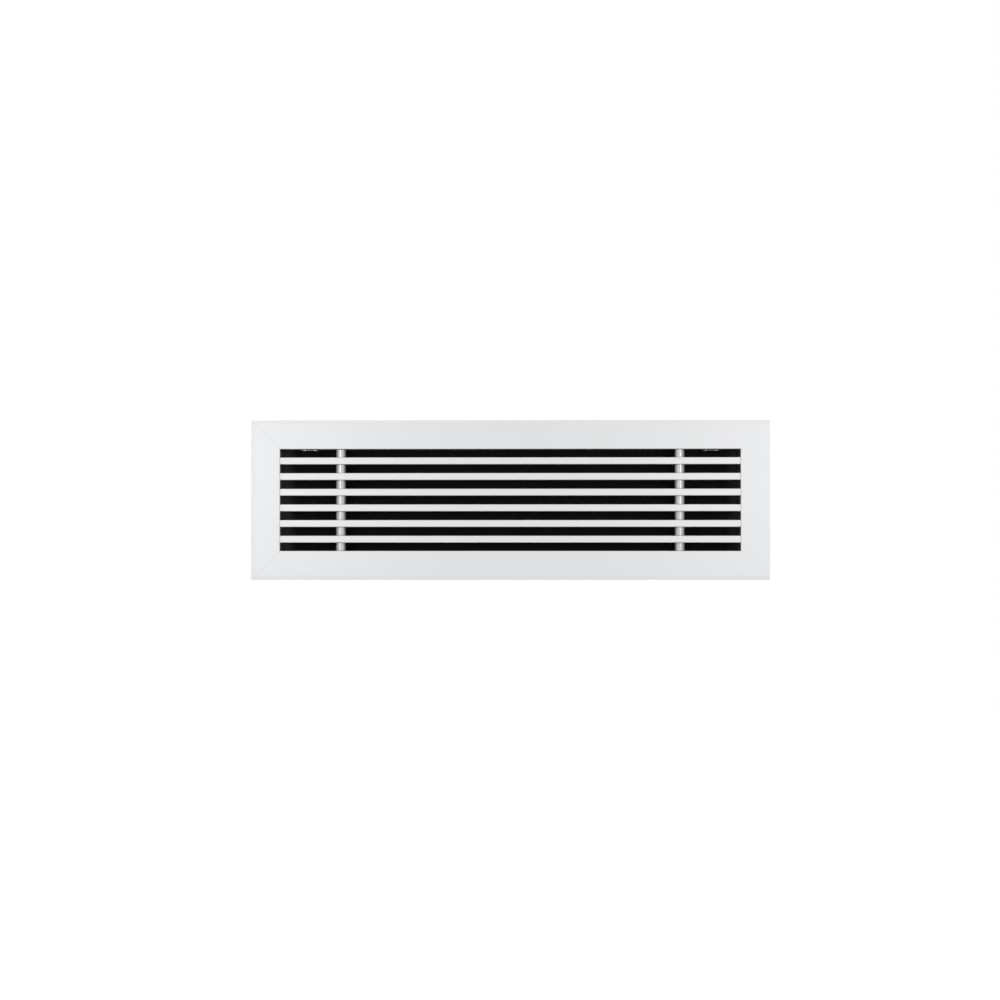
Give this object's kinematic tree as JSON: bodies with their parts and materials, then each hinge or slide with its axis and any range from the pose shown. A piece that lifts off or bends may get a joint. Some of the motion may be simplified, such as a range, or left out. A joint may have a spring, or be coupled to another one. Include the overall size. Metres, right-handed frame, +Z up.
{
  "type": "linear grille",
  "caption": "Rectangular ventilation grille with a mitred flat border and fixed horizontal bars held on tie rods and spacer tubes, spring clipped into a wall opening.",
  "frame": {"origin": "centre of the wall opening, in the plane of the wall, where the rim's back land seats", "axes": "+X along the bars, to the right seen from the room; +Z up; +Y into the wall, so the front faces -Y"},
  "size_m": [0.65, 0.0479, 0.2],
  "materials": {
    "white_powder_coat": "satin white powder coat",
    "mill_aluminium": "plain extruded",
    "zinc_plated_steel": "bright zinc plate",
    "spring_steel": "hardened spring strip"
  },
  "bodies": {
    "root": {"frame_top": "white_powder_coat", "frame_bottom": "white_powder_coat", "frame_left": "white_powder_coat", "frame_right": "white_powder_coat", "corner_key_top_left": "mill_aluminium", "corner_key_top_right": "mill_aluminium", "corner_key_bottom_left": "mill_aluminium", "corner_key_bottom_right": "mill_aluminium", "bar_1": "white_powder_coat", "bar_2": "white_powder_coat", "bar_3": "white_powder_coat", "bar_4": "white_powder_coat", "bar_5": "white_powder_coat", "bar_6": "white_powder_coat", "tie_rod_left": "zinc_plated_steel", "spacer_left_1": "mill_aluminium", "spacer_left_2": "mill_aluminium", "spacer_left_3": "mill_aluminium", "spacer_left_4": "mill_aluminium", "spacer_left_5": "mill_aluminium", "spacer_left_6": "mill_aluminium", "spacer_left_7": "mill_aluminium", "washer_left_top": "zinc_plated_steel", "nut_left_top": "zinc_plated_steel", "washer_left_bottom": "zinc_plated_steel", "nut_left_bottom": "zinc_plated_steel", "spring_clip_left": "spring_steel", "tie_rod_right": "zinc_plated_steel", "spacer_right_1": "mill_aluminium", "spacer_right_2": "mill_aluminium", "spacer_right_3": "mill_aluminium", "spacer_right_4": "mill_aluminium", "spacer_right_5": "mill_aluminium", "spacer_right_6": "mill_aluminium", "spacer_right_7": "mill_aluminium", "washer_right_top": "zinc_plated_steel", "nut_right_top": "zinc_plated_steel", "washer_right_bottom": "zinc_plated_steel", "nut_right_bottom": "zinc_plated_steel", "spring_clip_right": "spring_steel"}
  },
  "joints": []
}
